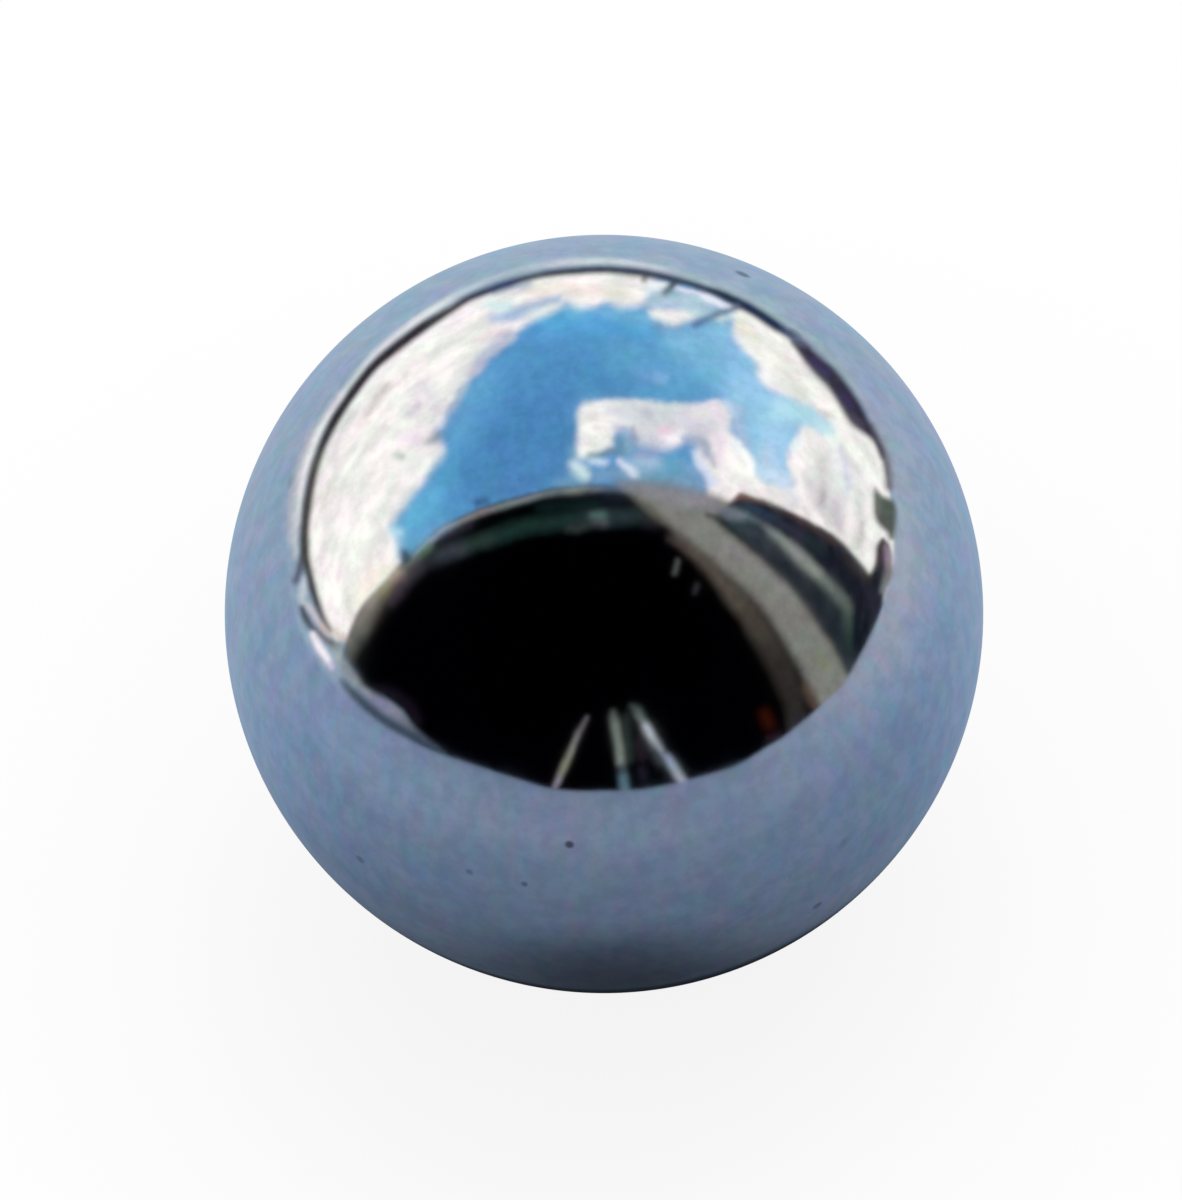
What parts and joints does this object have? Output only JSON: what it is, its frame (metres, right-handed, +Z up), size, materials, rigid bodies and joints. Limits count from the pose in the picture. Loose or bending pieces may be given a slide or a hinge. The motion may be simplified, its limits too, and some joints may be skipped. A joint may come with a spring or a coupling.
{
  "type": "steel ball",
  "caption": "Solid round steel ball with a mirror polish, for a bearing, a ball catch, a race or a small weight on the bench.",
  "frame": {"origin": "centre of the ball", "axes": "+Z up, away from what the ball rests on; the ball is the same about every axis through its centre"},
  "size_m": [0.025, 0.025, 0.025],
  "materials": {
    "polished_steel": "polished"
  },
  "bodies": {
    "root": {"ball": "polished_steel"}
  },
  "joints": []
}
